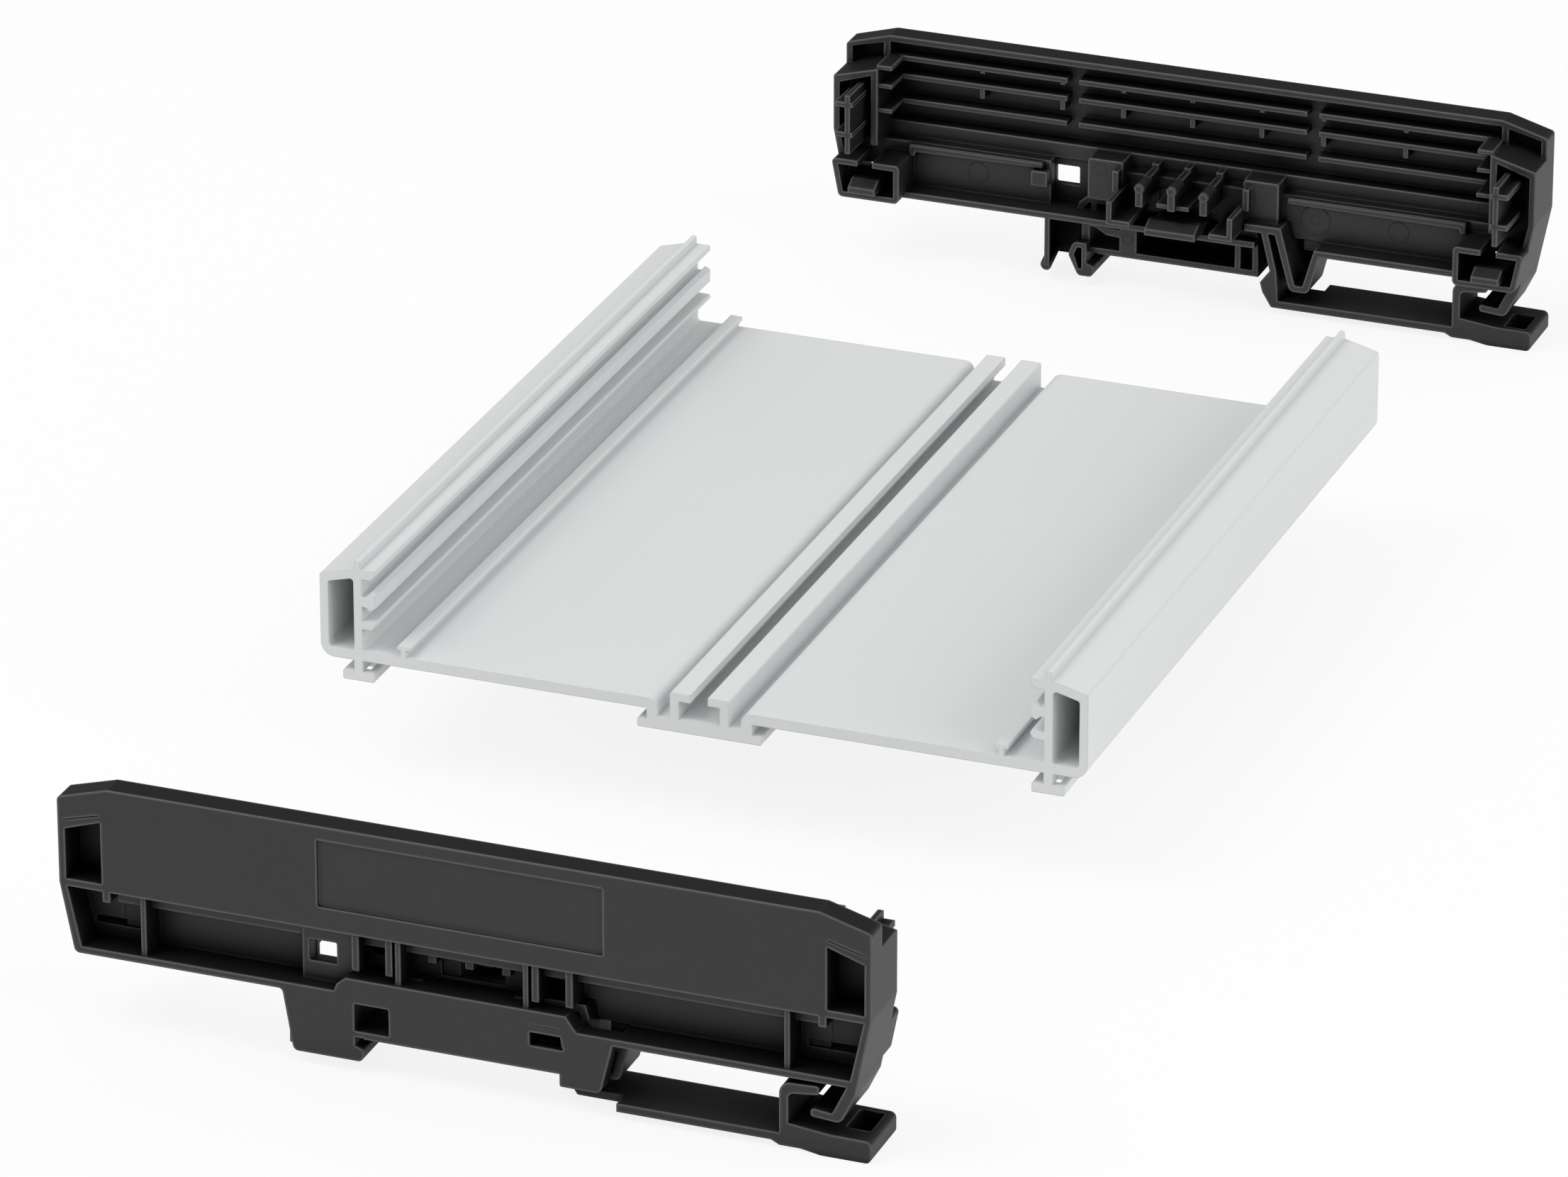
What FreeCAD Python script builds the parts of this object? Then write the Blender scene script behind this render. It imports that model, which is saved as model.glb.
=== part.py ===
import FreeCAD, Part
import math
import os
import re
import Sketcher

os.makedirs("parts", exist_ok=True)
doc = FreeCAD.newDocument("din_rail_enclosure")

# Sizes in mm. Heights of the base are measured from the underside of its floor,
# heights of a cover from its own datum, which is 20 below the top of its face.
SIZES = [
    # the extruded base
    ("base_width", 138.0),
    ("base_length", 155.0),
    ("floor_thick", 1.9),
    ("side_height", 15.4),
    ("side_wall", 1.5),
    ("web_wall", 1.5),
    ("chamber_width", 4.7),
    ("chamber_radius", 0.6),
    ("roof_rise", 1.8),
    ("roof_wall", 1.8),
    ("base_corner", 2.5),
    ("ridge_width", 1.1),
    ("ridge_height", 1.3),
    ("rib_reach", 2.4),
    ("rib_one", 15.2),
    ("rib_two", 10.1),
    ("rib_two_thick", 1.9),
    ("hook_rise", 0.8),
    ("rib_three", 5.95),
    ("rib_three_thick", 1.45),
    ("tee_inset", 15.2),
    ("tee_head_width", 2.4),
    ("tee_head", 0.7),
    ("tee_stem", 1.0),
    ("tee_height", 2.0),
    ("foot_inset", 6.9),
    ("foot_stem", 1.6),
    ("foot_drop", 2.0),
    ("foot_bar", 1.75),
    ("foot_width", 5.8),
    ("plate_drop", 3.6),
    ("plate_thick", 1.6),
    ("plate_half", 11.2),
    ("channel_half", 9.5),
    ("groove_outer", 7.5),
    ("groove_depth", 1.2),
    ("groove_radius", 1.8),
    ("box_half", 5.3),
    ("box_wall", 1.6),
    ("lip_gap", 3.14),
    ("lip_thick", 1.5),
    ("box_height", 3.6),
    ("slot_start", 1.4),
    ("slot_long", 4.6),
    ("foot_slot_wide", 3.4),
    ("plate_slot_wide", 11.6),
    # where the covers stand
    ("seat_height", 20.85),
    ("drop", 22.7),
    ("front_gap", 92.0),
    ("rear_gap", 92.0),
    ("butt_gap", 0.1),
    ("fit", 0.3),
    # the shell of a cover
    ("cover_over", 0.8),
    ("cover_depth", 11.4),
    ("face_thick", 1.4),
    ("wall", 1.2),
    ("crown", 20.0),
    ("shoulder_run", 8.8),
    ("crown_depth", 4.5),
    ("shoulder", 17.5),
    ("waist", 2.4),
    ("hem", -9.9),
    ("hem_lean", 2.4),
    ("hem_radius", 1.0),
    ("sill", 1.8),
    ("band_depth", 5.7),
    ("step_depth", 3.2),
    ("step_height", -1.2),
    ("label_half", 24.5),
    ("label_low", 5.8),
    ("label_high", 17.6),
    ("label_depth", 0.4),
    ("window_wide", 6.6),
    ("window_rim", 0.9),
    ("window_low", 3.1),
    ("window_high", 15.4),
    ("window_fall", 1.8),
    ("column_inset", 8.9),
    ("column_wall", 1.3),
    ("shelf_low", 13.2),
    ("shelf_high", 15.6),
    ("cell_wide", 14.4),
    ("centre_rib", 11.0),
    ("rib_wall", 0.9),
    # the ribs inside a cover
    ("row_depth", 4.5),
    ("row_wall", 1.0),
    ("row_low", 6.6),
    ("row_mid", 11.6),
    ("row_high", 15.3),
    ("row_centre_half", 22.7),
    ("row_gap", 2.4),
    ("row_end_gap", 1.9),
    ("tick_wall", 0.9),
    ("tick_long", 1.9),
    ("tick_short", 0.5),
    ("tick_one", 13.8),
    ("tick_two", 26.0),
    ("tick_three", 42.2),
    # plug tongue in the side chamber
    ("plug_reach", 7.3),
    ("plug_inset", 3.2),
    ("plug_wall", 1.0),
    ("plug_low", 0.5),
    ("plug_high", 12.4),
    ("plug_flange_low", 3.9),
    ("plug_flange_high", 10.0),
    ("plug_flange", 2.4),
    # box round the foot, with its snap tongue
    ("box_reach", 3.6),
    ("box_wide", 6.9),
    ("box_skin", 1.1),
    ("box_slot_wide", 3.0),
    ("box_top", -2.2),
    ("snap_reach", 5.6),
    ("snap_wide", 5.4),
    ("snap_wall", 1.2),
    ("snap_clear", 0.15),
    ("snap_step", 1.2),
    ("snap_ramp", 3.4),
    # cradle for the base plate
    ("cradle_reach", 6.0),
    ("cradle_wall", 1.0),
    ("cradle_foot", 4.6),
    ("finger_reach", 5.0),
    ("finger_side", 6.4),
    ("finger_wall", 1.4),
    ("finger_high", 1.6),
    ("finger_flange", 3.2),
    ("tongue_half", 5.0),
    ("pier_inner", 12.0),
    ("pier_outer", 19.0),
    ("pier_low", -5.4),
    ("pier_high", 2.8),
    ("pier_depth", 8.2),
    # lower plate, hook and rail seat
    ("ledge_half", 20.0),
    ("ledge", -6.1),
    ("rail_seat", -16.5),
    ("rail_seat_wall", 1.2),
    ("foot_outer", -31.0),
    ("foot_taper", 1.8),
    ("foot_splay", 3.2),
    ("foot_low", -20.6),
    ("hook_end", -18.5),
    ("hook_lip", -17.0),
    ("hook_gap", 1.4),
    ("hook_relief", 0.2),
    ("hole_one_left", -18.5),
    ("hole_one_right", -12.5),
    ("hole_one_high", -10.4),
    ("hole_one_low", -15.3),
    ("flag_end", -20.0),
    ("flag_top", -9.2),
    ("flag_wall", 1.8),
    ("flag_deep", 5.0),
    ("hole_two_left", 11.8),
    ("hole_two_high", -8.6),
    ("hole_two_low", -12.3),
    ("hole_two_wide", 5.0),
    ("hole_two_lean", 0.8),
    ("hatch_left", -27.3),
    ("hatch_right", -22.5),
    ("hatch_high", -1.6),
    ("hatch_low", -5.4),
    ("hatch_depth", 2.8),
    ("guard_wide", 3.3),
    ("guard_inset", 2.4),
    ("lug_left", 16.9),
    ("lug_low", -18.7),
    ("lug_right_low", 23.9),
    ("lug_right_high", 26.0),
    ("lug_depth", 2.6),
    # latch, its folded spring and its tab
    ("latch_start", 3.3),
    ("arm_wall", 1.3),
    ("beam_left", 13.0),
    ("beam_right", 20.2),
    ("arm_top", 16.2),
    ("arm_foot", 18.6),
    ("nose", 16.3),
    ("nose_low", -21.4),
    ("spring_wall", 1.2),
    ("spring_low", -17.6),
    ("spring_left", 22.2),
    ("spring_right", 25.9),
    ("spring_end", 28.0),
    ("bar_top", -20.0),
    ("bar_wall", 1.4),
    ("bar_step", 26.6),
    ("catch_inset", 15.5),
    ("catch_inset_tip", 8.8),
    ("catch_top", -10.9),
    ("catch_wall", 1.5),
    ("stop_low", -16.4),
    ("stop_inset", 10.2),
    ("stop_wall", 1.4),
    ("tab_top", -18.9),
    ("tab_low", -22.7),
    ("tab_pocket", 3.0),
]

# Sizes that follow from those above
FITTED = [
    ("foot_centre", "base_width/2-foot_inset"),
    ("tee_centre", "base_width/2-tee_inset"),
    ("plug_web", "base_width/2-side_wall-plug_inset"),
    ("box_inner", "foot_centre-box_wide"),
    ("box_slot_in", "foot_centre-box_slot_wide/2"),
    ("box_slot_out", "foot_centre+box_slot_wide/2"),
    ("snap_inner", "foot_centre-snap_wide/2"),
    ("snap_outer", "foot_centre+snap_wide/2"),
    ("cover_half", "base_width/2+cover_over"),
    ("crown_half", "cover_half-shoulder_run"),
    ("hem_half", "cover_half-hem_lean"),
    ("window_outer", "cover_half-window_rim"),
    ("window_inner", "window_outer-window_wide"),
    ("column_inner", "cover_half-column_inset"),
    ("cell_rib", "cover_half-cell_wide"),
    ("row_end", "column_inner-row_end_gap"),
    ("catch_left", "cover_half-catch_inset"),
    ("catch_tip", "cover_half-catch_inset_tip"),
    ("stop_tip", "cover_half-stop_inset"),
]
NAMES = [name for name, size in SIZES + FITTED]

sheet = doc.addObject("Spreadsheet::Sheet", "Sizes")
for row, (name, size) in enumerate(SIZES + FITTED, 1):
    sheet.set("A%d" % row, name)
    sheet.set("B%d" % row, "=" + str(size))
    sheet.setAlias("B%d" % row, name)
doc.recompute()


def formula(text):
    """Put the sheet's name before every size that the text uses."""
    return re.sub(
        "[a-z][a-z_]*",
        lambda m: "Sizes." + m.group(0) if m.group(0) in NAMES else m.group(0),
        str(text),
    )


def value(text):
    return float(sheet.evalExpression(formula(text)))


def flip(text):
    return "-(%s)" % text


def rect(x0, z0, x1, z1, radius=None):
    """A rectangle; its corners are round where a radius is given."""
    corners = [(x0, z0), (x1, z0), (x1, z1), (x0, z1)]
    return [c if radius is None else c + (radius,) for c in corners]


def mirrored(outline):
    return [(flip(p[0]),) + tuple(p[1:]) for p in outline]


def both(*outlines):
    """Each outline with its mirror image in the middle plane."""
    return list(outlines) + [mirrored(o) for o in outlines]


class Lines:
    """Collects one sketch's outlines, then gives them to the sketch in one go."""

    def __init__(self):
        self.geometry = []
        self.helpers = []
        self.constraints = []
        self.formulas = []

    def add(self, kind, *items):
        self.constraints.append(Sketcher.Constraint(kind, *items))

    def measure(self, text, kind, *items):
        """A constraint whose size is tied to the sheet."""
        self.formulas.append((len(self.constraints), formula(text)))
        self.add(kind, *items, value(text))

    def pin(self, geo, pos, known, x, y):
        """Place a point, leaving out what its upright or level side before it gives."""
        if "Vertical" not in known:
            self.measure(x, "DistanceX", -1, 1, geo, pos)
        if "Horizontal" not in known:
            self.measure(y, "DistanceY", -1, 1, geo, pos)

    def level(self, side, last, here):
        """Sides between points with the same formula are kept upright or level."""
        known = []
        for kind, axis in (("Vertical", 0), ("Horizontal", 1)):
            if last[axis] == here[axis]:
                self.add(kind, side)
                known.append(kind)
        return known

    def outline(self, points):
        """Straight sides, with a tangent arc at each corner that has a radius."""
        places = [FreeCAD.Vector(value(p[0]), value(p[1]), 0) for p in points]
        count = len(points)
        first = len(self.geometry)
        rounds = {}
        starts = list(places)
        ends = list(places)
        for i, p in enumerate(points):
            if len(p) > 2:
                around = (places[i - 1], places[i], places[(i + 1) % count])
                ends[i], centre, starts[i] = corner_arc(*around, value(p[2]))
                rounds[i] = centre
        for i in range(count):
            self.geometry.append(Part.LineSegment(starts[i], ends[(i + 1) % count]))
        for i, p in enumerate(points):
            before = first + (i - 1) % count
            after = first + i
            known = self.level(before, points[i - 1], p) if i else []
            if i not in rounds:
                self.add("Coincident", before, 2, after, 1)
                self.pin(after, 1, known, p[0], p[1])
                continue
            arc = len(self.geometry)
            left_turn = (ends[i] - rounds[i]).cross(starts[i] - rounds[i]).z > 0
            a, b = (ends[i], starts[i]) if left_turn else (starts[i], ends[i])
            self.geometry.append(arc_between(rounds[i], a, b))
            self.add("Tangent", before, 2, arc, 1 if left_turn else 2)
            self.add("Tangent", after, 1, arc, 2 if left_turn else 1)
            self.measure(p[2], "Radius", arc)
            self.helpers.append((before, after, places[i], known, p))

    def give(self, sketch):
        count = len(self.geometry)
        sketch.addGeometry(self.geometry, False)
        for number, (before, after, place, known, p) in enumerate(self.helpers):
            self.add("PointOnObject", count + number, 1, before)
            self.add("PointOnObject", count + number, 1, after)
            self.pin(count + number, 1, known, p[0], p[1])
        if self.helpers:
            sketch.addGeometry([Part.Point(h[2]) for h in self.helpers], True)
        sketch.addConstraint(self.constraints)
        for index, text in self.formulas:
            sketch.setExpression("Constraints[%d]" % index, text)


def corner_arc(a, b, c, radius):
    """Where an arc of this radius touches the two sides that meet at b, and its centre."""
    u = (a - b).normalize()
    v = (c - b).normalize()
    half = u.getAngle(v) / 2
    reach = radius / math.tan(half)
    centre = b + (u + v).normalize() * (radius / math.sin(half))
    return b + u * reach, centre, b + v * reach


def arc_between(centre, a, b):
    """The arc that runs anticlockwise from a to b."""
    first = math.atan2(a.y - centre.y, a.x - centre.x)
    last = math.atan2(b.y - centre.y, b.x - centre.x)
    circle = Part.Circle(centre, FreeCAD.Vector(0, 0, 1), a.distanceToPoint(centre))
    return Part.ArcOfCircle(circle, first, last)


class Moulding:
    """A body whose depth runs along the base, for a cover from its outer face at 0."""

    def __init__(self, label):
        self.body = doc.addObject("PartDesign::Body", label)
        self.body.Label = label
        self.label = label

    def sketch(self, name, plane, start, outlines):
        item = self.body.newObject("Sketcher::SketchObject", self.label + "_" + name + "_lines")
        support = [f for f in self.body.Origin.OriginFeatures if f.Role == plane][0]
        item.AttachmentSupport = [(support, "")]
        item.MapMode = "FlatFace"
        item.setExpression(".AttachmentOffset.Base.z", formula(start))
        lines = Lines()
        for outline in outlines:
            lines.outline(outline)
        lines.give(item)
        return item

    def feature(self, kind, name, lines, depth, back):
        item = self.body.newObject("PartDesign::" + kind, self.label + "_" + name)
        item.Profile = lines
        item.setExpression("Length", formula(depth))
        item.Reversed = back
        lines.Visibility = False
        self.body.Tip = item
        return item

    def grow(self, name, start, end, outlines):
        """Add outlines of width and height, from one depth to another."""
        lines = self.sketch(name, "XZ_Plane", flip(start), outlines)
        return self.feature("Pad", name, lines, "(%s)-(%s)" % (end, start), True)

    def cut(self, name, start, end, outlines):
        """Take away outlines of width and height, from one depth to another."""
        lines = self.sketch(name, "XZ_Plane", flip(start), outlines)
        return self.feature("Pocket", name, lines, "(%s)-(%s)" % (end, start), False)

    def mirror(self, name, feature):
        """Add the mirror image of a feature in the body's middle plane."""
        item = self.body.newObject("PartDesign::Mirrored", self.label + "_" + name)
        plane = [f for f in self.body.Origin.OriginFeatures if f.Role == "YZ_Plane"][0]
        item.Originals = [feature]
        item.MirrorPlane = (plane, [""])
        self.body.Tip = item
        return item

    def run(self, name, left, right, outlines):
        """Add outlines of depth and height, from one side to the other."""
        lines = self.sketch(name, "YZ_Plane", left, outlines)
        return self.feature("Pad", name, lines, "(%s)-(%s)" % (right, left), False)

    def rise(self, name, low, high, outlines, kind="Pad"):
        """Add or take away outlines of width and depth, from one height to another."""
        lines = self.sketch(name, "XY_Plane", low, outlines)
        return self.feature(kind, name, lines, "(%s)-(%s)" % (high, low), kind == "Pocket")


def base_half():
    """The right half of the base's section, from the plate's corner round to the channel."""
    half = "base_width/2"
    web_out = "base_width/2-side_wall-chamber_width"
    web_in = web_out + "-web_wall"
    tip = web_in + "-rib_reach"
    slope = "roof_rise/(side_wall+chamber_width+web_wall/2)"
    ridge_out = web_in + "+web_wall/2+ridge_width/2"
    ridge_in = web_in + "+web_wall/2-ridge_width/2"
    ridge_foot = "side_height+(%s)*(%s-(%s))" % (slope, half, ridge_out)
    crest = "side_height+roof_rise+ridge_height"
    stem_in = "foot_centre-foot_stem/2"
    stem_out = "foot_centre+foot_stem/2"
    bar_in = "foot_centre-foot_width/2"
    bar_out = "foot_centre+foot_width/2"
    bar_low = "-foot_drop-foot_bar"
    two_top = "rib_two+rib_two_thick"
    three_top = "rib_three+rib_three_thick"
    head = "floor_thick+tee_height"
    return [
        ("0", "-groove_depth"),
        ("0", "-plate_drop"),
        ("plate_half", "-plate_drop", "0.3"),
        ("plate_half", "-plate_drop+plate_thick", "0.3"),
        ("channel_half", "-plate_drop+plate_thick"),
        ("channel_half", "0"),
        (stem_in, "0"),
        (stem_in, "-foot_drop"),
        (bar_in, "-foot_drop", "0.3"),
        (bar_in, bar_low, "0.3"),
        (bar_out, bar_low, "0.3"),
        (bar_out, "-foot_drop", "0.3"),
        (stem_out, "-foot_drop"),
        (stem_out, "0"),
        (half, "0", "base_corner"),
        (half, "side_height", "0.8"),
        (ridge_out, ridge_foot),
        (ridge_out, crest, "0.4"),
        (ridge_in, crest, "0.4"),
        (ridge_in, "side_height+roof_rise-0.2"),
        (tip, "side_height+roof_rise-0.2", "0.3"),
        (tip, "rib_one+rib_reach/3"),
        (tip + "+rib_reach/3", "rib_one"),
        (web_in, "rib_one"),
        (web_in, two_top),
        (tip + "+rib_reach*0.7", two_top),
        (tip + "+rib_reach*0.4", two_top + "+hook_rise"),
        (tip, two_top + "+hook_rise*0.4"),
        (tip, "rib_two-hook_rise*0.1"),
        (tip + "+rib_reach*0.4", "rib_two-hook_rise*0.8"),
        (tip + "+rib_reach*0.7", "rib_two"),
        (web_in, "rib_two"),
        (web_in, three_top),
        (tip, three_top, "0.3"),
        (tip, "rib_three+rib_three_thick/2"),
        (tip + "+rib_three_thick/2", "rib_three"),
        (web_in, "rib_three"),
        (web_in, "floor_thick", "0.6"),
        ("tee_centre+tee_stem/2", "floor_thick"),
        ("tee_centre+tee_stem/2", head + "-tee_head"),
        ("tee_centre+tee_head_width/2", head + "-tee_head"),
        ("tee_centre+tee_head_width/2", head, "0.3"),
        ("tee_centre-tee_head_width/2", head, "0.3"),
        ("tee_centre-tee_head_width/2", head + "-tee_head"),
        ("tee_centre-tee_stem/2", head + "-tee_head"),
        ("tee_centre-tee_stem/2", "floor_thick"),
        ("groove_outer", "floor_thick", "groove_radius"),
        ("groove_outer", "-groove_depth"),
        ("box_half", "-groove_depth"),
        ("box_half", "box_height", "0.4"),
        ("lip_gap/2", "box_height"),
        ("lip_gap/2", "box_height-lip_thick"),
        ("box_half-box_wall", "box_height-lip_thick"),
        ("box_half-box_wall", "-groove_depth"),
    ]


def make_base():
    """The extruded base, with the slots punched near both ends."""
    base = Moulding("base_profile")
    web_out = "base_width/2-side_wall-chamber_width"
    chamber_out = "base_width/2-side_wall"
    slope = "roof_rise/(side_wall+chamber_width+web_wall/2)"
    low_top = "side_height-roof_wall+(%s)*side_wall" % slope
    chamber = [
        (web_out, "floor_thick", "chamber_radius"),
        (chamber_out, "floor_thick", "chamber_radius"),
        (chamber_out, low_top, "chamber_radius"),
        (web_out, low_top + "+(%s)*chamber_width" % slope, "chamber_radius"),
    ]
    half = base.grow("half", "-base_length/2", "base_length/2", [base_half(), chamber])
    base.mirror("section", half)
    near = "base_length/2-slot_start-slot_long"
    far = "base_length/2-slot_start"
    slots = []
    for sign in ("", "-"):
        y0 = "%s(%s)" % (sign, near)
        y1 = "%s(%s)" % (sign, far)
        slots.append((y0, y1))
    feet = []
    plates = []
    for y0, y1 in slots:
        foot = rect("foot_centre-foot_slot_wide/2", y0, "foot_centre+foot_slot_wide/2", y1)
        feet += both(foot)
        plates.append(rect("-plate_slot_wide/2", y0, "plate_slot_wide/2", y1))
    base.rise("foot_slots", "-foot_drop-foot_bar-1", "-foot_drop", feet, "Pocket")
    base.rise("plate_slots", "-plate_drop-1", "-groove_depth-0.1", plates, "Pocket")
    return base


def side_at(height, inset="0"):
    """How far out the leaning lower side wall is at a height."""
    lean = "(cover_half-hem_half)/(waist-hem)"
    return "cover_half-(waist-(%s))*%s-(%s)" % (height, lean, inset)


def make_spine(cover):
    """Face, crown, stepped band and floor as one section, run across the cover."""
    section = [
        ("0", "hem"),
        ("cover_depth", "hem"),
        ("cover_depth", "hem+wall"),
        ("band_depth+wall", "hem+wall"),
        ("band_depth+wall", "step_height+wall"),
        ("step_depth+wall", "step_height+wall"),
        ("step_depth+wall", "sill+wall"),
        ("face_thick", "sill+wall"),
        ("face_thick", "crown-wall"),
        ("crown_depth", "crown-wall"),
        ("crown_depth", "crown"),
        ("0", "crown"),
        ("0", "sill"),
        ("step_depth", "sill"),
        ("step_depth", "step_height"),
        ("band_depth", "step_height"),
        ("band_depth", "hem+wall"),
        ("0", "hem+wall"),
    ]
    cover.run("spine", "-crown_half", "crown_half", [section])


def make_sides(cover):
    """Shoulders, side walls, leaning shelves and columns at both ends."""
    face = [
        ("crown_half-1", "crown"),
        ("crown_half", "crown"),
        ("cover_half", "shoulder", "0.8"),
        ("cover_half", "waist"),
        (side_at("sill"), "sill"),
        ("crown_half-1", "sill"),
    ]
    window = [
        ("window_inner", "window_low", "0.3"),
        ("window_outer", "window_low", "0.3"),
        ("window_outer", "window_high-window_fall", "0.3"),
        ("window_inner", "window_high", "0.3"),
    ]
    cover.grow("end_faces", "0", "face_thick", both(face, window))
    shoulder = [
        ("crown_half-1", "crown"),
        ("crown_half", "crown"),
        ("cover_half", "shoulder", "0.8"),
        ("cover_half", "shelf_low"),
        ("cover_half-wall", "shelf_low"),
        ("cover_half-wall", "shoulder-0.6"),
        ("crown_half-0.2", "crown-wall"),
        ("crown_half-1", "crown-wall"),
    ]
    cover.grow("shoulders", "face_thick", "crown_depth", both(shoulder))
    ring = [
        ("column_inner", "shelf_high"),
        ("cover_half", "shelf_low"),
        ("cover_half", "waist"),
        (side_at("hem+hem_radius"), "hem+hem_radius"),
        ("hem_half", "hem", "hem_radius"),
        ("crown_half-1", "hem"),
        ("crown_half-1", "hem+wall"),
        ("hem_half-wall", "hem+wall"),
        (side_at("waist", "wall"), "waist"),
        ("cover_half-wall", "shelf_low-wall"),
        ("column_inner+column_wall", "shelf_high-wall-0.3"),
        ("column_inner+column_wall", "0"),
        ("column_inner", "0"),
    ]
    cover.grow("end_walls", "0", "cover_depth", both(ring))
    column = [
        ("column_inner", "shelf_high-1"),
        ("column_inner+column_wall", "shelf_high-1"),
        ("column_inner+column_wall", "crown-wall/2"),
        ("column_inner", "crown-wall/2"),
    ]
    cover.grow("columns", "face_thick/2", "crown_depth", both(column))
    back = [
        ("column_inner+0.2", "hem+wall/2"),
        (side_at("hem+wall/2", "wall/2"), "hem+wall/2"),
        (side_at("waist", "wall/2"), "waist"),
        ("cover_half-wall/2", "shelf_low-wall/2"),
        ("column_inner+0.2", "shelf_high-wall/2"),
    ]
    cover.grow("end_backs", "band_depth", "band_depth+wall", both(back))
    sill = [
        ("column_inner+0.2", "sill"),
        (side_at("sill", "wall/2"), "sill"),
        (side_at("waist", "wall/2"), "waist"),
        ("cover_half-wall/2", "window_low"),
        ("column_inner+0.2", "window_low"),
    ]
    cover.grow("window_sills", "face_thick/2", "band_depth+wall/2", both(sill))


def make_band_ribs(cover):
    """Upright ribs across the recessed band."""
    low = []
    high = []
    for centre in ("cell_rib", "centre_rib"):
        left = centre + "-rib_wall/2"
        low.append(rect(left, "hem+wall/2", left + "+rib_wall", "step_height+wall/2"))
        high.append(rect(left, "step_height", left + "+rib_wall", "sill+wall/2"))
    cover.grow("band_ribs", "0.6", "band_depth+wall/2", both(*low))
    cover.grow("band_rib_tops", "0.6", "step_depth+wall/2", both(*high))


def make_rows(cover):
    """Three rows of inner shelves with their ticks."""
    rows = []
    for level in ("row_low", "row_mid", "row_high"):
        rows.append(rect("-row_centre_half", level, "row_centre_half", level + "+row_wall"))
        outer = rect("row_centre_half+row_gap", level, "row_end", level + "+row_wall")
        rows += both(outer)
    cover.grow("rows", "face_thick/2", "row_depth", rows)
    ends = []
    for level in ("row_low", "row_mid", "row_high"):
        ends += both(rect("row_end-0.8", level + "+0.1", "column_inner+0.4", level + "+row_wall-0.1"))
    cover.grow("row_ends", "face_thick/2", "cover_depth-0.5", ends)
    ticks = []
    for level, drop in (("row_mid", "tick_long"), ("row_high", "tick_short")):
        ticks.append(rect("-tick_wall/2", level + "-" + drop, "tick_wall/2", level + "+0.2"))
        for centre in ("tick_one", "tick_two", "tick_three"):
            left = centre + "-tick_wall/2"
            ticks += both(rect(left, level + "-" + drop, left + "+tick_wall", level + "+0.2"))
    cover.grow("ticks", "face_thick/2", "row_depth-0.1", ticks)


def make_plugs(cover):
    """Plug tongues that slide into the base's side chambers."""
    web = rect("plug_web-plug_wall/2", "plug_low", "plug_web+plug_wall/2", "plug_high")
    cover.grow("plug_webs", "band_depth+wall/2", "cover_depth+plug_reach", both(web))
    flanges = []
    for level in ("plug_flange_low", "plug_flange_high"):
        left = "plug_web-plug_wall/2-0.5"
        flanges.append(rect(left, level, "plug_web+plug_flange", level + "+plug_wall"))
    cover.grow("plug_flanges", "band_depth+wall/2", "cover_depth+plug_reach", both(*flanges))


def make_foot_boxes(cover):
    """Open-topped boxes that pass round the base's feet."""
    box = [
        ("box_slot_in", "box_top"),
        ("box_inner", "box_top", "0.8"),
        ("box_inner", "hem", "hem_radius"),
        ("hem_half", "hem", "hem_radius"),
        (side_at("box_top"), "box_top", "0.8"),
        ("box_slot_out", "box_top"),
        ("box_slot_out", "box_top-box_skin"),
        (side_at("box_top-box_skin", "box_skin"), "box_top-box_skin"),
        (side_at("hem+box_skin", "box_skin"), "hem+box_skin"),
        ("box_inner+box_skin", "hem+box_skin"),
        ("box_inner+box_skin", "box_top-box_skin"),
        ("box_slot_in", "box_top-box_skin"),
    ]
    cover.grow("foot_boxes", "band_depth", "cover_depth+box_reach", both(box))


def snap_section(top, start):
    """A snap tongue seen from the side, its wedge drawn pressed down below the top height."""
    tip = "cover_depth+snap_reach"
    catch = "cover_depth+slot_start+0.4"
    low = "(%s)-snap_step" % top
    return [
        (start, low + "-snap_wall"),
        (tip, low + "-snap_wall"),
        (tip, low),
        (tip + "-snap_ramp*0.7", top),
        (catch, top),
        (catch, low),
        (start, low),
    ]


def make_snaps(cover):
    """Snap tongues under both feet and under the base plate."""
    feet_top = "seat_height-drop-foot_drop-foot_bar-snap_clear"
    section = snap_section(feet_top, "band_depth+wall/2")
    cover.run("right_snap", "snap_inner", "snap_outer", [section])
    cover.run("left_snap", "-snap_outer", "-snap_inner", [section])
    plate_top = "seat_height-drop-plate_drop-snap_clear"
    cover.run("centre_snap", "-tongue_half", "tongue_half", [snap_section(plate_top, "0.8")])


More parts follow.
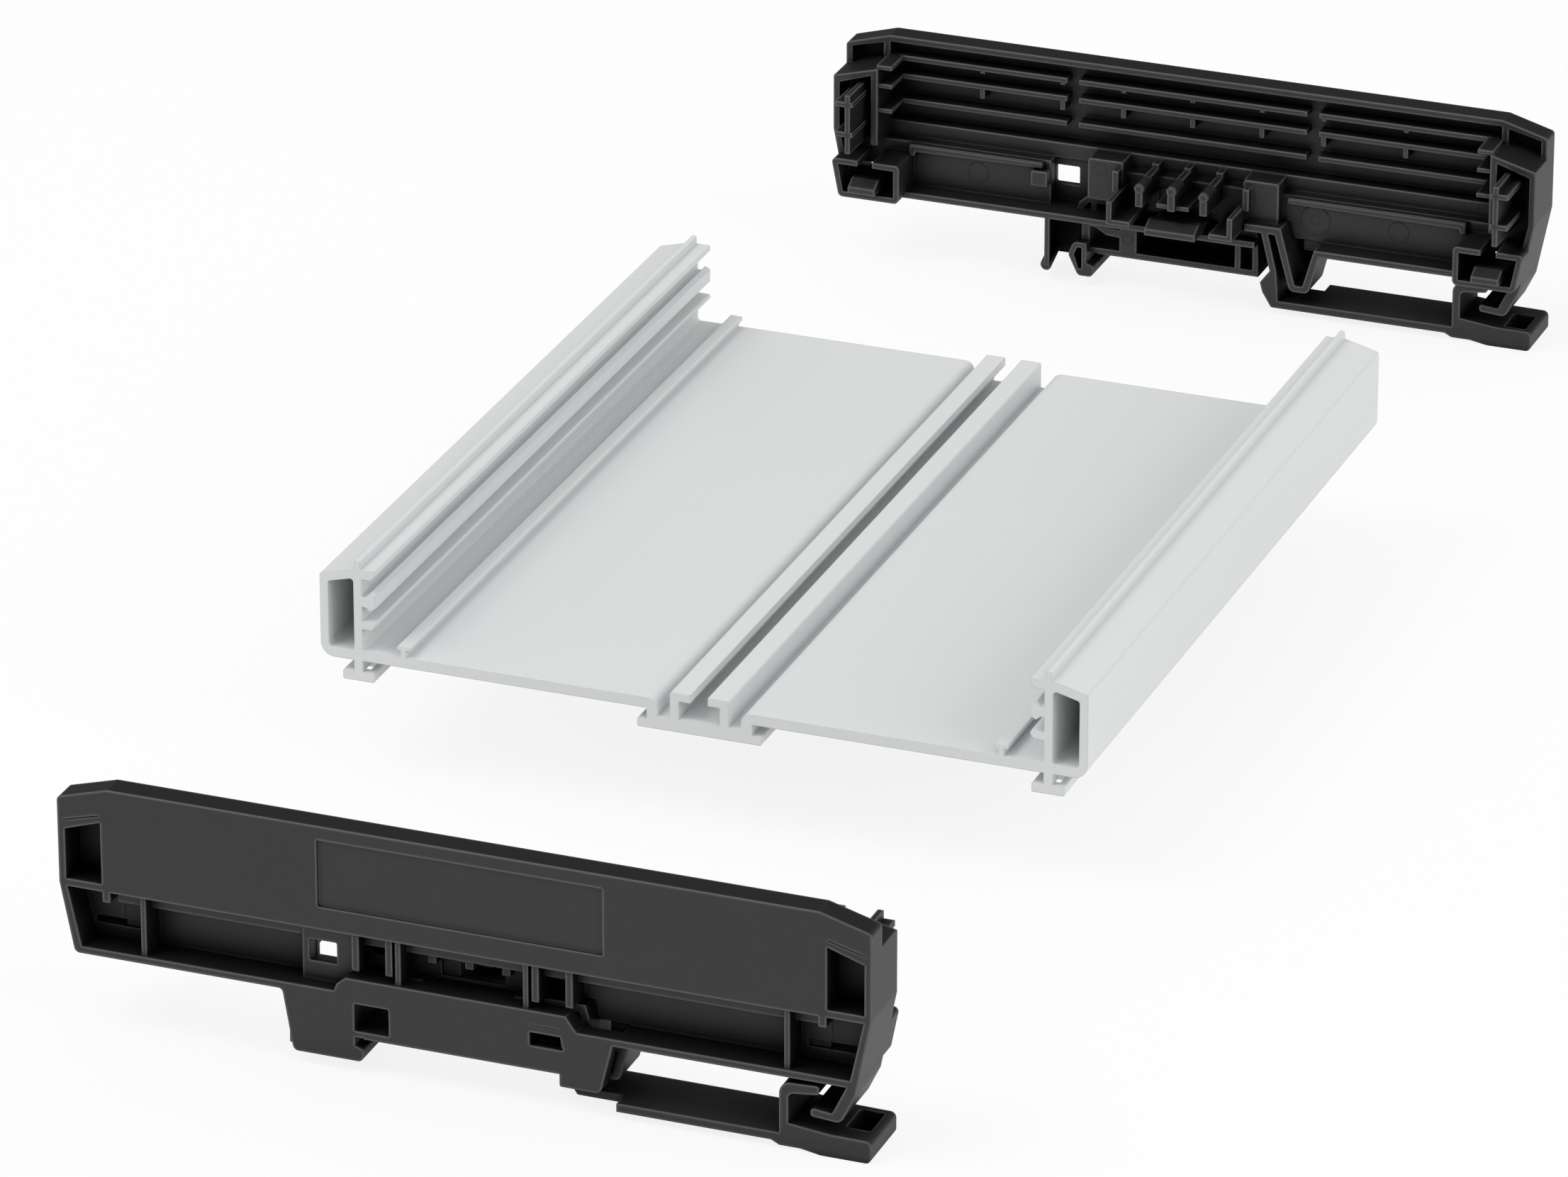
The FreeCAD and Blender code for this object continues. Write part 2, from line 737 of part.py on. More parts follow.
def make_cradle(cover):
    """Brackets and fingers that take the base plate and its channel."""
    under = "seat_height-drop"
    plate_low = under + "-plate_drop"
    side_in = "plate_half+fit"
    side_out = side_in + "+cradle_wall"
    bracket = [
        (side_out, under + "-fit"),
        (side_out, plate_low + "-fit-cradle_wall"),
        (side_out + "-cradle_foot", plate_low + "-fit-cradle_wall"),
        (side_out + "-cradle_foot", plate_low + "-fit"),
        (side_in, plate_low + "-fit"),
        (side_in, under + "-fit"),
    ]
    cover.grow("brackets", "step_depth", "cover_depth+cradle_reach", both(bracket))
    low = under + "-groove_depth+fit"
    left = "finger_side-finger_wall/2"
    side = rect(left, low, left + "+finger_wall", "finger_high")
    middle = rect("-finger_wall/2", low, "finger_wall/2", "finger_high+0.3")
    reach = "cover_depth+finger_reach"
    cover.grow("fingers", "step_depth+0.6", reach, both(side) + [middle])
    flange = rect("-finger_flange", low, "finger_flange", low + "+0.8")
    cover.grow("finger_flange", "band_depth", reach + "-1", [flange])
    roots = []
    for centre in ("-finger_side", "0", "finger_side"):
        left = centre + "-finger_wall/2"
        roots.append(rect(left, low, left + "+finger_wall", "sill+wall/2"))
    cover.grow("finger_roots", "step_depth+0.6", "band_depth+wall", roots)


def make_piers(cover):
    """Upright plates on both sides of the cradle, with their side walls."""
    pier = rect("pier_inner", "pier_low", "pier_outer", "pier_high", "0.6")
    cover.grow("piers", "pier_depth", "pier_depth+wall", both(pier))
    walls = []
    for left in ("pier_inner", "pier_outer-wall"):
        walls.append(rect(left, "pier_low+0.6", left + "+wall", "pier_high-0.6"))
    cover.grow("pier_walls", "face_thick/2", "pier_depth+wall/2", both(*walls))
    rib = rect("pier_inner+0.4", "pier_low+2.6", "pier_inner+0.4+wall", "pier_high-1.3")
    cover.grow("pier_ribs", "pier_depth+wall/2", "cover_depth-0.4", both(rib))
    ceiling = rect("pier_inner", "pier_high-wall", "pier_outer", "pier_high-0.05")
    cover.grow("pier_tops", "step_depth", "pier_depth+wall/2", both(ceiling))


def make_lower_plate(cover):
    """The plate below the band, with the foot and the lug, both holes and the rail seat."""
    plate = [
        ("-ledge_half-2.2", "hem+wall/2"),
        ("-ledge_half-1.5", "ledge-1.3"),
        ("-ledge_half", "ledge"),
        ("ledge_half-2", "ledge"),
        ("ledge_half-0.7", "ledge-1.9"),
        ("ledge_half+0.4", "hem+wall/2"),
        ("lug_right_high", "hem"),
        ("lug_right_low", "lug_low", "1.2"),
        ("lug_left", "lug_low", "0.4"),
        ("lug_left", "rail_seat"),
        ("hook_lip+0.1", "rail_seat"),
        ("hook_lip+0.1", "rail_seat+hook_relief"),
        ("hook_end", "rail_seat+hook_relief"),
        ("hook_end", "rail_seat-hook_gap"),
        ("hook_lip", "rail_seat-hook_gap-0.6", "0.4"),
        ("hook_lip", "foot_low", "1.0"),
        ("foot_outer+foot_taper", "foot_low", "1.0"),
        ("foot_outer", "hem", "0.8"),
        ("foot_outer-1.4", "hem"),
        ("foot_outer-1.4", "hem+wall/2"),
    ]
    hole_one = rect("hole_one_left", "hole_one_low", "hole_one_right", "hole_one_high", "0.3")
    hole_two = [
        ("hole_two_left", "hole_two_high", "0.3"),
        ("hole_two_left+hole_two_wide", "hole_two_high", "0.3"),
        ("hole_two_left+hole_two_wide+hole_two_lean", "hole_two_low", "0.3"),
        ("hole_two_left", "hole_two_low", "0.3"),
    ]
    cover.grow("lower_plate", "0", "face_thick", [plate, hole_one, hole_two])
    shelf = [
        ("-ledge_half-2.2", "hem+wall/2"),
        ("-ledge_half-1.5", "ledge-1.3"),
        ("-ledge_half", "ledge"),
        ("ledge_half-2", "ledge"),
        ("ledge_half-0.7", "ledge-1.9"),
        ("ledge_half+0.4", "hem+wall/2"),
        ("ledge_half-0.8", "hem+wall/2"),
        ("ledge_half-1.9", "ledge-2.2"),
        ("ledge_half-2.6", "ledge-wall"),
        ("-ledge_half+0.4", "ledge-wall"),
        ("-ledge_half-0.5", "ledge-2.2"),
        ("-ledge_half-1", "hem+wall/2"),
    ]
    cover.grow("centre_shelf", "face_thick/2", "band_depth+wall", [shelf])
    seat = [
        ("hook_end", "rail_seat+hook_relief"),
        ("hook_lip+0.1", "rail_seat+hook_relief"),
        ("hook_lip+0.1", "rail_seat"),
        ("lug_left-1.6", "rail_seat"),
        ("lug_left-1.6", "rail_seat+rail_seat_wall"),
        ("hook_end", "rail_seat+rail_seat_wall"),
    ]
    cover.grow("rail_seat_wall", "face_thick/2", "cover_depth-2", [seat])
    left = rect("hole_one_right", "rail_seat+0.2", "hole_one_right+3.4", "hem+0.2")
    inner = rect("hole_two_left-1.2", "rail_seat+0.2", "hole_two_left-0.1", "ledge-2")
    cover.grow("seat_posts", "face_thick/2", "cover_depth-2", [left, inner])
    flag = [
        ("flag_end", "flag_top"),
        ("flag_end+3.4", "flag_top-0.2"),
        ("flag_end+5.4", "flag_top-1.6"),
        ("hole_one_right+0.2", "flag_top-1.8"),
        ("hole_one_right+0.2", "flag_top-flag_wall-1.6"),
        ("flag_end+4.8", "flag_top-flag_wall-1.4"),
        ("flag_end+2.6", "flag_top-flag_wall-0.1"),
        ("flag_end", "flag_top-flag_wall"),
    ]
    cover.grow("flag", "cover_depth-flag_deep", "cover_depth-2", [flag])
    slanted = [
        ("hole_two_left-1.2", "hole_two_high+1.2"),
        ("hole_two_left+hole_two_wide-1.8", "hole_two_high+1.2"),
        ("lug_left-1.6", "rail_seat+rail_seat_wall"),
        ("lug_left-2.8", "rail_seat+rail_seat_wall"),
        ("hole_two_left+hole_two_wide-2.7", "hole_two_high+0.1"),
        ("hole_two_left-1.2", "hole_two_high+0.1"),
    ]
    cover.grow("slanted_wall", "band_depth", "cover_depth-2", [slanted])
    lug = [
        ("lug_left", "hem"),
        ("lug_left", "lug_low", "0.4"),
        ("lug_right_low", "lug_low", "1.2"),
        ("lug_right_high", "hem"),
        ("lug_right_high", "hem+wall/2"),
        ("lug_left", "hem+wall/2"),
    ]
    cover.grow("lug", "face_thick/2", "lug_depth", [lug])


def make_hook(cover):
    """The splayed outer wall of the foot and the hollow lip that hooks the rail."""
    front = "foot_outer+foot_taper/2"
    wall = [
        (front, "face_thick/2"),
        (front + "+1", "face_thick/2"),
        (front + "+foot_splay+1", "cover_depth"),
        (front + "+foot_splay", "cover_depth"),
    ]
    cover.rise("foot_wall", "foot_low+1", "hem+wall/2", [wall])
    outer = [
        ("hook_end-3.6", "rail_seat", "1.2"),
        ("hook_end-2.6", "rail_seat+2.6", "1.2"),
        ("hook_end", "rail_seat+2.6"),
        ("hook_end", "rail_seat-hook_gap"),
        ("hook_lip", "rail_seat-hook_gap-0.6", "0.4"),
        ("hook_lip", "foot_low", "1.0"),
        ("hook_end-1.6", "foot_low", "1.0"),
    ]
    hollow = [
        ("hook_end-2.5", "rail_seat", "0.6"),
        ("hook_end-1.8", "rail_seat+1.6", "0.3"),
        ("hook_end-0.9", "rail_seat+1.6", "0.3"),
        ("hook_end-0.9", "foot_low+1.4"),
        ("hook_end-1.5", "foot_low+1.4"),
    ]
    cover.grow("hook", "face_thick/2", "cover_depth", [outer, hollow])
    root = rect("hook_end-1.6", "rail_seat+2", "hook_end", "hem+0.2")
    cover.grow("hook_root", "face_thick/2", "cover_depth-2", [root])


def make_hatch(cover):
    """The block with the square opening, left of the cradle."""
    block = rect("hatch_left-wall", "hem+wall/2", "-pier_outer+0.4", "sill+wall/2")
    hatch = rect("hatch_left", "hatch_low", "hatch_right", "hatch_high", "0.3")
    cover.grow("hatch", "hatch_depth", "hatch_depth+wall", [block, hatch])
    side = rect("hatch_left-wall", "hem+wall/2", "hatch_left-0.1", "step_height+wall/2")
    cover.grow("hatch_side", "hatch_depth+wall/2", "band_depth+wall", [side])
    guard = rect("hatch_left-guard_wide", "hatch_low+0.8", "hatch_left-0.1", "hatch_high", "0.3")
    cover.grow("hatch_guard", "band_depth+wall/2", "cover_depth-guard_inset", [guard])
    through = rect("hatch_left", "hem+wall", "-pier_outer-0.05", "step_height+wall")
    cover.cut("hatch_way", "hatch_depth+wall", "band_depth+wall+0.1", [through])


def make_clearings(cover):
    """Openings through the band's back wall and the floor, behind the centre."""
    centre = rect("-tongue_half-0.5", "ledge+0.6", "tongue_half+0.5", "step_height-0.8")
    left = rect("-pier_outer+wall+0.1", "pier_low+1.6", "-centre_rib-rib_wall/2", "step_height")
    right = [
        ("centre_rib+rib_wall/2", "ledge+0.1"),
        ("centre_rib+rib_wall/2", "step_height"),
        ("pier_outer-wall-0.1", "step_height"),
        ("pier_outer-wall-0.1", "pier_low+0.3"),
        ("ledge_half+0.9", "pier_low+0.3"),
        ("ledge_half+1.6", "hem+wall"),
        ("ledge_half-2", "hem+wall"),
        ("ledge_half-2", "ledge+0.1"),
    ]
    low = "box_top-box_skin"
    foot = rect("box_inner+box_skin+0.8", low + "-3.4", "box_slot_out+2.4", low + "-2.1")
    under = [
        rect("-ledge_half+2", "hem+wall", "-centre_rib-rib_wall/2", "ledge-wall"),
        rect("-centre_rib+rib_wall/2", "hem+wall", "centre_rib-rib_wall/2", "ledge-wall"),
    ]
    openings = [centre, left, right] + under + both(foot)
    cover.cut("band_openings", "band_depth-0.1", "band_depth+wall+0.1", openings)
    gap = rect("arm_top-1.2", "hem-0.2", "spring_end-spring_wall", "hem+wall+0.2")
    cover.cut("latch_way", "latch_start-0.3", "cover_depth+0.2", [gap])


def make_latch(cover):
    """Arm with nose, folded spring, bar, catch and pull tab."""
    beam = rect("beam_left", "pier_low-spring_wall", "beam_right", "pier_low+0.2")
    cover.grow("beam", "latch_start", "cover_depth", [beam])
    arm = [
        ("arm_top", "pier_low-0.6"),
        ("arm_foot-0.4", "rail_seat+2.4"),
        ("nose", "rail_seat-0.1", "0.3"),
        ("nose+0.5", "lug_low+0.2"),
        ("nose+2.3", "nose_low", "0.5"),
        ("bar_step", "bar_top-bar_wall"),
        ("bar_step", "bar_top"),
        ("arm_foot+arm_wall", "bar_top"),
        ("arm_foot+arm_wall-0.4", "rail_seat+2.4"),
        ("arm_top+arm_wall", "pier_low-0.6"),
    ]
    cover.grow("arm", "latch_start", "cover_depth", [arm])
    spring = [
        ("beam_right", "pier_low"),
        ("beam_right-spring_wall*1.1", "pier_low-0.6"),
        ("spring_left", "spring_low", "1.2"),
        ("spring_right", "spring_low", "1.2"),
        ("spring_end", "hem+wall/2"),
        ("spring_end-spring_wall*1.1", "hem+wall/2"),
        ("spring_right-spring_wall", "spring_low+spring_wall", "0.4"),
        ("spring_left+spring_wall*0.8", "spring_low+spring_wall", "0.4"),
    ]
    cover.grow("spring", "latch_start", "cover_depth", [spring])
    bar = [
        ("bar_step-1", "bar_top"),
        ("catch_left", "bar_top"),
        ("catch_left", "catch_top", "2.0"),
        ("catch_tip", "catch_top+0.3", "0.5"),
        ("catch_tip", "catch_top-catch_wall*0.8", "0.5"),
        ("catch_left+catch_wall", "catch_top-catch_wall-0.3", "1.0"),
        ("catch_left+catch_wall", "tab_top+0.9"),
        ("catch_left+8.6", "tab_top+0.1"),
        ("cover_half", "tab_top", "1.0"),
        ("cover_half", "tab_low", "1.0"),
        ("catch_left+7", "tab_low", "3.0"),
        ("catch_left+3.6", "tab_low+0.6", "3.0"),
        ("catch_left", "tab_low+0.6", "0.8"),
        ("catch_left-1.4", "bar_top-bar_wall"),
        ("bar_step", "bar_top-bar_wall"),
        ("bar_step-1", "bar_top-bar_wall"),
    ]
    cover.grow("bar", "0", "cover_depth", [bar])
    back = rect("bar_step-2", "bar_top-bar_wall-1", "bar_step", "bar_top+0.5")
    cover.cut("bar_start", "-0.1", "latch_start", [back])
    stop = [
        (side_at("hem+wall/2"), "hem+wall/2"),
        (side_at("hem-1.4"), "hem-1.4"),
        ("cover_half-5.1", "stop_low", "1.4"),
        ("stop_tip", "stop_low+0.4", "0.5"),
        ("stop_tip", "stop_low+0.4+stop_wall", "0.5"),
        ("cover_half-6.6", "stop_low+stop_wall", "0.4"),
        (side_at("hem", "stop_wall+0.4"), "hem"),
        (side_at("hem+wall/2", "stop_wall+0.4"), "hem+wall/2"),
    ]
    cover.grow("stop", "0", "cover_depth", [stop])
    pocket = rect("cover_half-5.6", "3.6", "cover_half-1.4", "cover_depth-1.2", "0.6")
    cover.rise("tab_pocket", "tab_top-tab_pocket", "tab_top+0.5", [pocket], "Pocket")


def make_label(cover):
    """The shallow bare recess on the face."""
    recess = rect("-label_half", "label_low", "label_half", "label_high", "0.3")
    cover.cut("label_recess", "-0.1", "label_depth", [recess])


PORTIONS = {
    "shell": (make_spine, make_sides, make_band_ribs, make_hatch, make_clearings, make_label),
    "guides": (make_rows,),
    "joints": (make_plugs, make_foot_boxes),
    "cradle": (make_piers, make_cradle),
    "snaps": (make_snaps,),
    "lower": (make_lower_plate, make_hook),
    "latch": (make_latch,),
}


def make_front_cover():
    """The cover's portions, each drawn by itself, joined as the one moulding they are."""
    portions = []
    for name, steps in PORTIONS.items():
        portion = Moulding("cover_" + name)
        for step in steps:
            step(portion)
        portion.body.setExpression(
            ".Placement.Base.y", formula("-base_length/2-butt_gap-cover_depth-front_gap")
        )
        portion.body.setExpression(".Placement.Base.z", formula("drop"))
        portions.append(portion.body)
    cover = doc.addObject("Part::MultiFuse", "front_cover")
    cover.Shapes = portions
    cover.Refine = True
    return cover


def make_rear_cover(front):
    """The front cover's mirror image, beyond the other end of the base."""
    cover = doc.addObject("Part::Mirroring", "rear_cover")
    cover.Source = front
    cover.Normal = FreeCAD.Vector(0, 1, 0)
    cover.setExpression(".Base.y", formula("(rear_gap-front_gap)/2"))
    return cover


base = make_base()
base.body.setExpression(".Placement.Base.z", formula("seat_height"))
front = make_front_cover()
rear = make_rear_cover(front)
doc.recompute()

for item in doc.Objects:
    if "Invalid" in item.State or "Error" in item.State:
        raise RuntimeError("%s is %s" % (item.Label, item.State))
    if item.isDerivedFrom("PartDesign::Feature"):
        if item.Shape.isNull() or not item.Shape.isValid():
            raise RuntimeError("%s has no valid shape" % item.Label)

for piece in (base.body, front, rear):
    shape = piece.Shape
    if shape.isNull() or not shape.isValid() or len(shape.Solids) != 1:
        raise RuntimeError("%s is not one sound solid" % piece.Label)
    Part.export([piece], "parts/%s.step" % piece.Label)
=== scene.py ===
import math

import bmesh
import bpy
from mathutils import Euler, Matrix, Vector


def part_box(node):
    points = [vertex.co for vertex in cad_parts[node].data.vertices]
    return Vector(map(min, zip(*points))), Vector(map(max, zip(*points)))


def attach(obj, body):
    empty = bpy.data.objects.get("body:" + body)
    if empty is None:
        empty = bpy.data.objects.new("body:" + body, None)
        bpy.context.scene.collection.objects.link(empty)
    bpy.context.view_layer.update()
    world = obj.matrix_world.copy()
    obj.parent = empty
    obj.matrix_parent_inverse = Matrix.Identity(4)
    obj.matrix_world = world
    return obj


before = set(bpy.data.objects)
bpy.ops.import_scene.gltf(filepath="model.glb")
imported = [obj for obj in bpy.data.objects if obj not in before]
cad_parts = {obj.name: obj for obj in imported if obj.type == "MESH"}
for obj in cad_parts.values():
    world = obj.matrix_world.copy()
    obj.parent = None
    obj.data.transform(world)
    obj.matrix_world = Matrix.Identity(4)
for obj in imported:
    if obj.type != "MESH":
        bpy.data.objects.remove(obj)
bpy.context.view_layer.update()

MM = 0.001
WHITE = (1.0, 1.0, 1.0, 1.0)

# Places that the mouldings give, read from the frame
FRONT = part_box("front_cover")
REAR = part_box("rear_cover")
COVER_DEPTH = 11.4 * MM
CROWN_HEIGHT = 20 * MM
COVER_DATUM = FRONT[1].z - CROWN_HEIGHT

# The photograph's camera: place in metres, angles in degrees, lens in millimetres
CAMERA_PLACE = (0.5564, -1.4821, 0.7284)
CAMERA_AZIMUTH = 21.07
CAMERA_ELEVATION = 24.36
CAMERA_LENS = 228.5
CAMERA_SENSOR = 36.0
CAMERA_REACH = 20.0

# Light all round: what it gives to matt faces, what glossy faces mirror, what the camera sees
SKY_LIGHT = 0.78
SKY_MIRRORED = 0.12
SKY_SEEN = 1.0

# Lamps: name, place, width, power
LAMPS = [
    ("high_left", (-1.2, -0.9, 2.2), 1.3, 22.5),
    ("right", (2.0, -0.5, 1.2), 1.2, 12.0),
]
FLOOR_REACH = 6.0

# Ejector pin marks on the inner side of a cover: across, height, depth from the rim, radius
PIN_MARKS = [
    (-42.0, -4.4, 4.5, 2.0),
    (42.0, -4.4, 4.5, 2.0),
    (-57.8, 1.6, 7.0, 1.2),
    (57.8, 1.6, 7.0, 1.2),
    (-16.4, 1.0, 2.0, 1.15),
    (16.4, 1.0, 2.0, 1.15),
    (-10.9, -12.7, 2.0, 1.0),
    (-53.5, 19.4, 6.9, 0.45),
    (53.5, 19.4, 6.9, 0.45),
    (-19.0, 19.4, 6.9, 0.45),
    (19.0, 19.4, 6.9, 0.45),
    (-39.0, -9.3, 0.0, 0.45),
    (39.0, -9.3, 0.0, 0.45),
    (-62.1, -7.55, -5.6, 0.45),
    (62.1, -7.55, -5.6, 0.45),
    (0.0, -7.4, -5.6, 0.45),
    (56.0, -20.6, 0.0, 0.55),
    (67.6, -20.6, 0.0, 0.55),
]
DATE_RING = (25.6, -4.4, 4.5, 2.9)
DATE_CENTRE = (25.6, -4.4, 4.5, 0.9)
RING_SIDES = 32
RIM_SIDES = 4
RIM_SHARE = 0.045

# Webs behind a cover's openings: left, right, low, high, depth from the face
WEBS = [
    (-5.6, -2.2, -5.6, -1.9, 6.0),
    (17.4, 21.9, -8.8, -4.9, 6.0),
    (11.6, 17.6, -13.7, -8.6, 5.2),
    (23.3, 27.5, -10.9, -8.0, 6.0),
    (56.6, 60.9, -6.7, -5.0, 6.0),
    (-60.9, -56.6, -6.7, -5.0, 6.0),
]
WEB_THICK = 0.7

# The ridge that frames the band on the inner side, left and right of the cradle
RIDGE_TOP = -0.1
RIDGE_THICK = 1.2
RIDGE_END = 55.6
RIDGE_FALL = 2.4
RIDGE_LEFT_START = -28.6
RIDGE_RIGHT_START = 20.4
RIDGE_DEPTHS = (6.7, 8.3)

# Round beads: across and height at the near end, the same at the far end, depths, radius
BEADS = [
    (-28.2, -19.5, -26.6, -19.5, 1.5, 11.3, 1.1),
    (-6.4, 0.9, -6.4, 0.9, 11.6, 16.5, 1.0),
    (0.0, 1.2, 0.0, 1.2, 11.6, 16.5, 1.0),
    (6.4, 0.9, 6.4, 0.9, 11.6, 16.5, 1.0),
]
BEAD_SIDES = 20

# Softened edges of the ridges, beads and webs, and the gap under which corners are one
EDGE_SOFT = 0.18
EDGE_STEPS = 2
SAME_CORNER = 0.002


class Socket:
    """A number on its way through a material, used in plain arithmetic."""

    def __init__(self, shader, link):
        self.shader = shader
        self.link = link

    def calculate(self, operation, first, second):
        return self.shader.node("ShaderNodeMath", {"operation": operation}, {0: first, 1: second})

    def __add__(self, other):
        return self.calculate("ADD", self, other)

    __radd__ = __add__

    def __sub__(self, other):
        return self.calculate("SUBTRACT", self, other)

    def __rsub__(self, other):
        return self.calculate("SUBTRACT", other, self)

    def __mul__(self, other):
        return self.calculate("MULTIPLY", self, other)

    __rmul__ = __mul__


class Shader:
    """One material and the nodes that it is made of."""

    def __init__(self, name):
        self.material = bpy.data.materials.new(name)
        self.material.use_nodes = True
        self.tree = self.material.node_tree
        self.tree.nodes.clear()

    def node(self, kind, settings=None, values=None, output=0):
        """Any node: its settings first, then what its sockets hold or are fed by."""
        item = self.tree.nodes.new(kind)
        for name, setting in (settings or {}).items():
            setattr(item, name, setting)
        for name, value in (values or {}).items():
            if isinstance(value, Socket):
                self.tree.links.new(value.link, item.inputs[name])
            else:
                item.inputs[name].default_value = value
        return Socket(self, item.outputs[output]) if item.outputs else None

    def place(self, scale=(1, 1, 1)):
        """Where a point is in its object, in coordinates that can be stretched."""
        where = self.node("ShaderNodeTexCoord", output=3)
        return self.node("ShaderNodeMapping", {}, {"Vector": where, "Scale": scale})

    def noise(self, where, scale):
        """Soft random spots, as many to the metre as the scale says."""
        values = {"Vector": where, "Scale": scale, "Detail": 3.0, "Roughness": 0.55}
        return self.node("ShaderNodeTexNoise", {}, values)

    def mix(self, factor, first, second):
        """A colour between two others; sockets 6 and 7 are the colours of this node."""
        values = {"Factor": factor, 6: first, 7: second}
        return self.node("ShaderNodeMix", {"data_type": "RGBA"}, values, output=2)

    def bump(self, height, strength, distance, normal):
        """Fine relief on top of the normal."""
        values = {"Height": height, "Strength": strength, "Distance": distance, "Normal": normal}
        return self.node("ShaderNodeBump", {}, values)

    def soft_edges(self, radius):
        """The normal that the edges have when they are rounded to the radius."""
        return self.node("ShaderNodeBevel", {"samples": 6}, {"Radius": radius})

    def openness(self, reach, closed, free):
        """From 0 in pockets to 1 where little or nothing stands within reach."""
        values = {"Distance": reach}
        seen = self.node("ShaderNodeAmbientOcclusion", {"samples": 8}, values, output=1)
        steps = {"Value": seen, "From Min": closed, "From Max": free}
        return self.node("ShaderNodeMapRange", {}, steps)

    def rounding(self, edges):
        """From 0 on flat faces to 1 where the softened normal has turned well away."""
        flat = self.node("ShaderNodeNewGeometry", output=3)
        dot = {"operation": "DOT_PRODUCT"}
        turned = self.node("ShaderNodeVectorMath", dot, {0: edges, 1: flat}, output=1)
        steps = {"Value": turned, "From Min": 0.998, "From Max": 0.88}
        return self.node("ShaderNodeMapRange", {}, steps)

    def principled(self, values):
        return self.node("ShaderNodeBsdfPrincipled", {}, values)

    def blend(self, share, first, second):
        """Two surfaces in one: the second one takes the share."""
        return self.node("ShaderNodeMixShader", {}, {0: share, 1: first, 2: second})

    def finish(self, surface):
        self.node("ShaderNodeOutputMaterial", {}, {"Surface": surface})
        return self.material


def moulded_black():
    """Black plastic: a fine grain, a painted highlight on the softened edges, painted shade in
    creases and pockets.
    """
    shader = Shader("moulded_black")
    where = shader.place()
    grain = shader.noise(where, 2600.0)
    cloud = shader.noise(where, 60.0)
    dark = (0.0095, 0.0093, 0.0090, 1.0)
    pale = (0.0140, 0.0138, 0.0135, 1.0)
    # Pale grey mixed in where the softened normal turns away from the face: a painted edge
    # highlight.
    edge_highlight = (0.130, 0.129, 0.128, 1.0)
    edges = shader.soft_edges(0.7 * MM)
    # Painted shade: ambient occlusion darkens tight creases, and deep pockets take the near-black
    # surface below.
    crease_shade_mask = shader.openness(1.2 * MM, 0.45, 0.95)
    free = shader.openness(14 * MM, 0.15, 0.66) * (0.35 + crease_shade_mask * 0.65)
    plain = shader.mix(cloud * 0.6 + grain * 0.4, dark, pale)
    open_face = {
        "Base Color": shader.mix(shader.rounding(edges) * free, plain, edge_highlight),
        "Roughness": 0.46 + grain * 0.12,
        "Normal": shader.bump(grain, 0.16, 0.06 * MM, edges),
        "Specular IOR Level": 0.62,
    }
    # Near-black matte surface blended in where little is open: painted shade in pockets.
    painted_pocket_shade = {
        "Base Color": (0.002, 0.002, 0.0019, 1.0),
        "Roughness": 0.9,
        "Specular IOR Level": 0.12,
    }
    surface = shader.blend(free, shader.principled(painted_pocket_shade), shader.principled(open_face))
    return shader.finish(surface)


def extruded_grey():
    """Light grey plastic with the faint drawn lines of the die along its length."""
    shader = Shader("extruded_grey")
    lines = shader.noise(shader.place((900.0, 4.0, 900.0)), 1.0)
    cloud = shader.noise(shader.place(), 26.0)
    pale = (0.700, 0.712, 0.714, 1.0)
    deep = (0.665, 0.682, 0.687, 1.0)
    edges = shader.soft_edges(0.3 * MM)
    values = {
        "Base Color": shader.mix(lines * 0.35 + cloud * 0.65, pale, deep),
        "Roughness": 0.36 + lines * 0.12,
        "Normal": shader.bump(lines, 0.04, 0.05 * MM, edges),
        "Specular IOR Level": 0.45,
    }
    return shader.finish(shader.principled(values))


def table_white():
    """A floor that the camera sees as white, and that keeps the object's shadow."""
    shader = Shader("table_white")
    floor = shader.principled({"Base Color": (0.86, 0.86, 0.86, 1.0), "Roughness": 0.9})
    glow = shader.node("ShaderNodeEmission", {}, {"Color": WHITE})
    seen = shader.node("ShaderNodeLightPath")
    mirrored = shader.node("ShaderNodeLightPath", output=3)
    return shader.finish(shader.blend(seen * 0.85 + mirrored * 0.9, floor, glow))


def ring_group(name, steps):
    """A node group with the sockets that the marks need, and its nodes by name."""
    tree = bpy.data.node_groups.new(name, "GeometryNodeTree")
    tree.interface.new_socket("Geometry", in_out="OUTPUT", socket_type="NodeSocketGeometry")
    tree.interface.new_socket("Geometry", in_out="INPUT", socket_type="NodeSocketGeometry")
    tree.interface.new_socket("Rim", in_out="INPUT", socket_type="NodeSocketFloat")
    tree.interface.new_socket("Material", in_out="INPUT", socket_type="NodeSocketMaterial")
    nodes = {key: tree.nodes.new(kind) for key, kind in steps.items()}
    return tree, nodes


